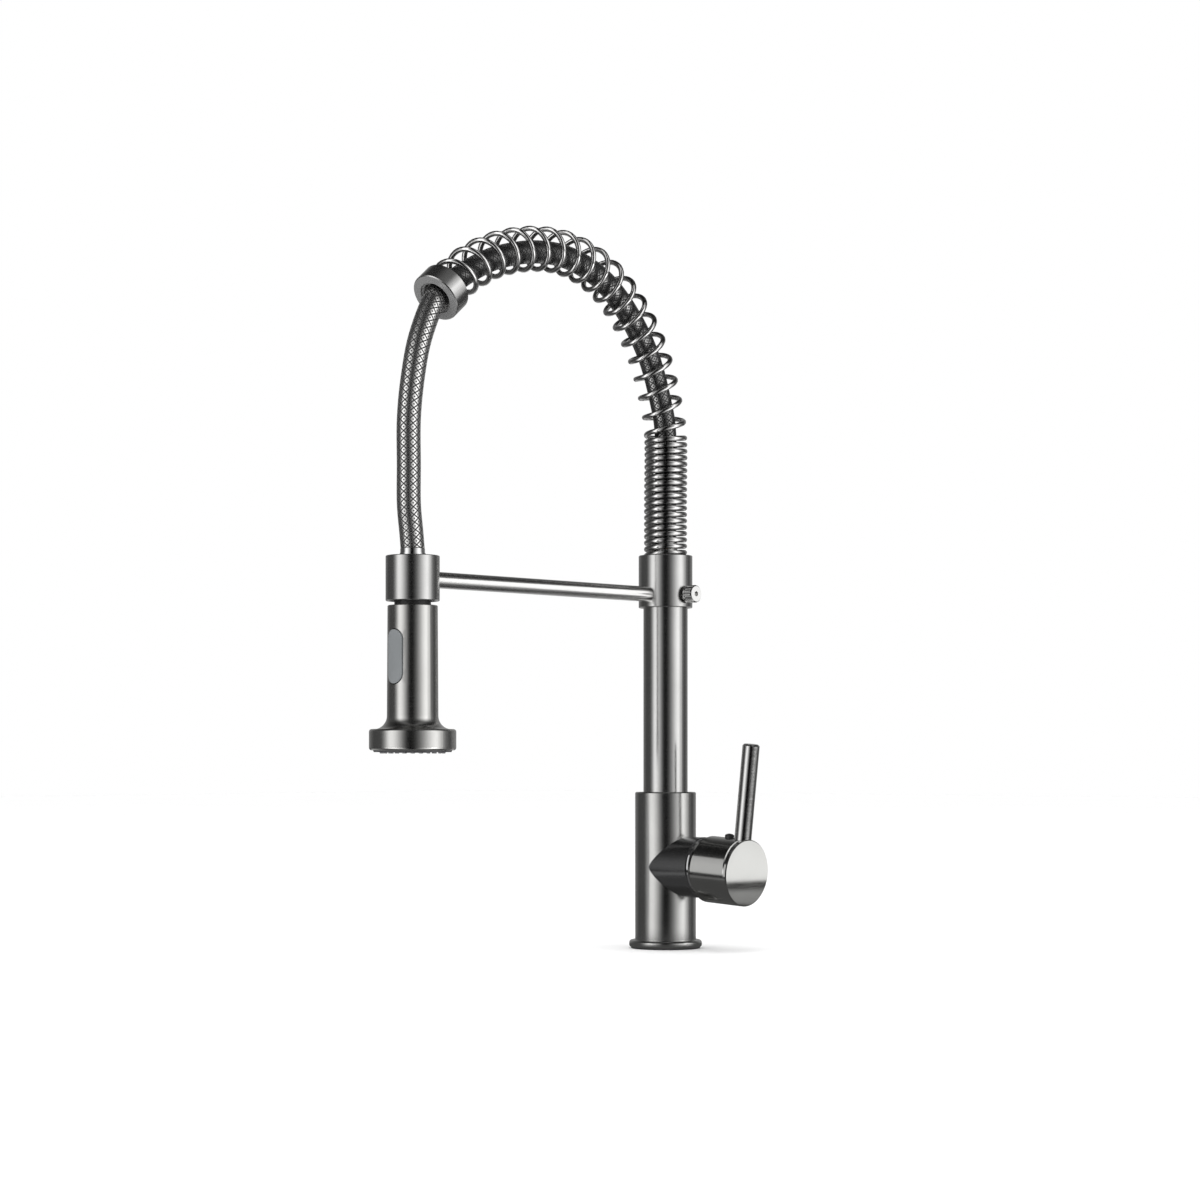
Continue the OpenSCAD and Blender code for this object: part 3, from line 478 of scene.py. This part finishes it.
# Hose: from the top of its foot sleeve to the top of its end sleeve.
HOSE_D = 13.8
HOSE_STEPS, HOSE_SIDES = 420, 48
hose_s = [HOSE_FROM + seen_line * i / HOSE_STEPS for i in range(HOSE_STEPS + 1)]
hose_path = [to_world(hose_line.at(s)) for s in hose_s]
hose_head = [to_world(hose_line.heading(s)).normalized() for s in hose_s]
hose_head[0] = Vector((0.0, 0.0, 1.0))
hose_head[-1] = Vector((0.0, 0.0, -1.0))
hose_start = [Vector((1.0, 0.0, 0.0))] * len(hose_path)
hose = swept("braided_hose", hose_path, hose_head, hose_start, HOSE_D / 2 * MM, HOSE_SIDES, braid)
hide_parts("hose")

# Spring: close wound at its foot and at its last turn, open over the arch.
WIRE = 3.2
SPRING_R = (27.4 - WIRE) / 2
CLOSE_TURNS, OPEN_TURNS, LAST_TURNS = 20.5, 20.5, 1.0
CLOSE_PITCH, FOOT_GAP = 4.0, 0.1
# Pitch of the first open turn, as a share of the open turns' mean pitch.
FIRST_PITCH = 0.95
END_RING, IN_RING = 11.5, 6
STEPS_A_TURN, WIRE_SIDES = 32, 12

spring_from = WIRE / 2 + FOOT_GAP
spring_to = arch.total - END_RING + IN_RING
close_end = spring_from + CLOSE_TURNS * CLOSE_PITCH
turns = CLOSE_TURNS + OPEN_TURNS
wide_turns = OPEN_TURNS - LAST_TURNS
wide_length = spring_to - LAST_TURNS * CLOSE_PITCH - close_end
open_pitch = FIRST_PITCH * wide_length / wide_turns
open_growth = (wide_length - open_pitch * wide_turns) / wide_turns ** 2


def coil_s(t):
    """Length along the arch after t turns."""
    u = t - CLOSE_TURNS
    if u < 0:
        return spring_from + t * CLOSE_PITCH
    if u < wide_turns:
        return close_end + u * open_pitch + u * u * open_growth
    return spring_to - (turns - t) * CLOSE_PITCH


def coil(t):
    """Centre of the coil and centre of the wire after t turns, in metres."""
    s = coil_s(t)
    heading = arch.heading(s)
    middle = to_world(arch.at(s))
    side = Vector((0.0, heading[1], heading[0]))
    turn = 2 * math.pi * t
    outward = math.cos(turn) * Vector((1.0, 0.0, 0.0)) + math.sin(turn) * side
    return middle, middle + SPRING_R * MM * outward


def wire_heading(t):
    """Direction of the wire after t turns."""
    step = 0.01
    return (coil(min(t + step, turns))[1] - coil(max(t - step, 0.0))[1]).normalized()


coil_t = [i / STEPS_A_TURN for i in range(int(turns * STEPS_A_TURN) + 1)]
middles, wire = zip(*[coil(t) for t in coil_t])
spring = swept("spring_coil", wire, [wire_heading(t) for t in coil_t],
               [w - m for m, w in zip(middles, wire)], WIRE / 2 * MM, WIRE_SIDES, spring_metal)
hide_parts("spring")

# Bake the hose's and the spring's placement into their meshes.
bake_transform(hose)
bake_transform(spring)

# ---------- floor and deck ----------

FLOOR_SIZE, FLOOR_DROP = 12.0, 0.0002
DECK_RADIUS, DECK_DROP, DECK_GREY = 0.12, 0.001, 0.09

bpy.ops.mesh.primitive_plane_add(size=FLOOR_SIZE, location=(0, 0, -FLOOR_DROP))
floor = bpy.context.object
floor.name = "floor"
pale_floor, ns, ls = new_material("pale_floor")
cloud = noise(ns, ls, 3.0, 2.0)
principled(ns, ls, {
    "Roughness": 0.9,
    "Specular IOR Level": 0.1,
    "Base Color": colour_mix(ns, ls, cloud, (0.95, 0.95, 0.95), (0.97, 0.97, 0.97))})
floor.data.materials.append(pale_floor)
floor.visible_glossy = False

# Seen only in the metal's reflections, in place of what lies under the deck.
bpy.ops.mesh.primitive_circle_add(vertices=48, radius=DECK_RADIUS, fill_type="NGON",
                                  location=(0, 0, -DECK_DROP))
deck_tone = bpy.context.object
deck_tone.name = "deck_tone"
deck_grey, ns, ls = new_material("deck_tone")
glow = add_node(ns, "ShaderNodeEmission")
glow.inputs["Color"].default_value = (DECK_GREY, DECK_GREY, DECK_GREY, 1.0)
out = add_node(ns, "ShaderNodeOutputMaterial")
ls.new(glow.outputs[0], out.inputs["Surface"])
deck_tone.data.materials.append(deck_grey)
deck_tone.visible_camera = False
deck_tone.visible_diffuse = False
deck_tone.visible_shadow = False

# ---------- lights ----------

WHOLE = Vector((0.0, -0.09, 0.22))
HUB = Vector((0.055, 0.0, 0.050))
ARM = Vector((0.0, -0.11, 0.212))
COIL = Vector((0.0, -0.06, 0.32))
RING = to_world(arch.at(arch.total))


def softbox(name, azimuth, elevation, distance, size, power, aim=WHOLE, only=None):
    """Area light, width by height, at an angle from the camera's side, turned towards its aim."""
    data = bpy.data.lights.new(name, "AREA")
    data.shape = "RECTANGLE"
    data.size, data.size_y = size
    data.energy = power
    obj = bpy.data.objects.new(name, data)
    bpy.context.scene.collection.objects.link(obj)
    a, e = math.radians(azimuth), math.radians(elevation)
    flat = CAM_BACK * math.cos(a) + CAM_RIGHT * math.sin(a)
    obj.location = aim + (flat * math.cos(e) + Vector((0.0, 0.0, math.sin(e)))) * distance
    obj.rotation_euler = (aim - obj.location).to_track_quat("-Z", "Y").to_euler()
    if only:
        group = bpy.data.collections.new(name + "_lit")
        for piece in only:
            group.objects.link(piece)
        obj.light_linking.receiver_collection = group
        obj.visible_camera = False
    else:
        obj.visible_glossy = False


hub, dome, screw = nodes["handle_hub"], nodes["dome_ring"], nodes["clamp_screw"]
softbox("box_left", -50.0, 15.0, 1.9, (0.9, 2.2), 9.0)
softbox("box_right", 65.0, 15.0, 1.9, (0.9, 2.2), 9.0)
softbox("box_top", 0.0, 75.0, 1.9, (0.9, 0.9), 6.0)
softbox("box_hub", -87.0, 15.0, 1.0, (0.35, 0.75), 0.5, HUB, [hub, dome, screw])
softbox("box_face", 95.0, 16.0, 1.0, (0.9, 0.9), 2.8, HUB, [hub, screw])
softbox("box_arm", 102.0, 4.0, 0.45, (0.4, 0.34), 0.62, ARM, [nodes["holder_arm"]])
softbox("box_ring", 84.0, 10.0, 1.0, (0.8, 0.6), 0.7, RING, [nodes["spring_end_ring"]])
softbox("box_coil_left", -52.0, 38.0, 1.3, (0.45, 2.2), 2.8, COIL, [spring])
softbox("box_coil_right", 60.0, 38.0, 1.3, (0.42, 2.2), 2.6, COIL, [spring])

# ---------- surroundings ----------

# Brightness of the studio round the object, by angle from the camera's side in degrees.
STUDIO = [(-180, 0.33), (-147, 0.21), (-122, 0.08), (-100, 0.08), (-86, 0.08), (-74, 0.42),
          (-60, 1.5), (-47, 1.35), (-34, 0.78), (-22, 0.26), (-12, 0.02), (-6, 0.0), (4, 0.0),
          (12, 0.05), (22, 0.19), (33, 0.48), (45, 0.92), (57, 1.4), (70, 1.7), (84, 0.9),
          (100, 0.2), (120, 0.07), (147, 0.3), (180, 0.33)]
# Share of that brightness by the height of the direction, -1 straight down to 1 straight up.
HEIGHTS = [(-1.0, 0.2), (-0.62, 1.0), (-0.46, 2.0), (-0.27, 2.0), (-0.22, 0.1), (-0.17, 0.1),
           (-0.12, 0.9), (0.35, 1.0), (0.75, 0.1), (1.0, 0.1)]
# A colour ramp holds levels up to 1, so each level is kept as a part of this one.
TOP_LEVEL = 2.0
FILL = 1.07


def stops_ramp(ns, ls, fac, stops, lowest, highest):
    """Levels by a number that runs from lowest to highest, as parts of the top level."""
    made = add_node(ns, "ShaderNodeValToRGB")
    ls.new(ramp(ns, ls, fac, 0.0, 1.0, lowest, highest), made.inputs["Fac"])
    first_place, last_place = stops[0][0], stops[-1][0]
    while len(made.color_ramp.elements) < len(stops):
        made.color_ramp.elements.new(0.5)
    for stop, (place, level) in zip(made.color_ramp.elements, stops):
        grey = level / TOP_LEVEL
        stop.position = (place - first_place) / (last_place - first_place)
        stop.color = (grey, grey, grey, 1.0)
    return made.outputs["Color"]


def background(ns, ls, colour, strength):
    """Light from all round."""
    made = add_node(ns, "ShaderNodeBackground")
    feed(ls, made.inputs["Color"], colour)
    feed(ls, made.inputs["Strength"], strength)
    return made.outputs[0]


def chosen(ns, ls, fac, otherwise, wanted):
    """The wanted shader where fac is 1, and the other one elsewhere."""
    made = add_node(ns, "ShaderNodeMixShader")
    for socket, value in zip(made.inputs, (fac, otherwise, wanted)):
        ls.new(value, socket)
    return made.outputs[0]


world = bpy.data.worlds.new("world")
bpy.context.scene.world = world
world.use_nodes = True
ns, ls = world.node_tree.nodes, world.node_tree.links
ns.clear()
direction = add_node(ns, "ShaderNodeTexCoord").outputs["Generated"]
to_right = vector_maths(ns, ls, "DOT_PRODUCT", direction, CAM_RIGHT)
to_back = vector_maths(ns, ls, "DOT_PRODUCT", direction, CAM_BACK)
angle = maths(ns, ls, "ARCTAN2", to_right, to_back)
around = stops_ramp(ns, ls, angle, STUDIO, -math.pi, math.pi)
upright = stops_ramp(ns, ls, parts_of(ns, ls, direction)[2], HEIGHTS, -1.0, 1.0)
studio = background(ns, ls, around, maths(ns, ls, "MULTIPLY", upright, TOP_LEVEL ** 2))
white = (1.0, 1.0, 1.0, 1.0)
ray = add_node(ns, "ShaderNodeLightPath").outputs
lit = chosen(ns, ls, ray["Is Glossy Ray"], background(ns, ls, white, FILL), studio)
seen = chosen(ns, ls, ray["Is Camera Ray"], lit, background(ns, ls, white, 1.0))
out = add_node(ns, "ShaderNodeOutputWorld")
ls.new(seen, out.inputs["Surface"])
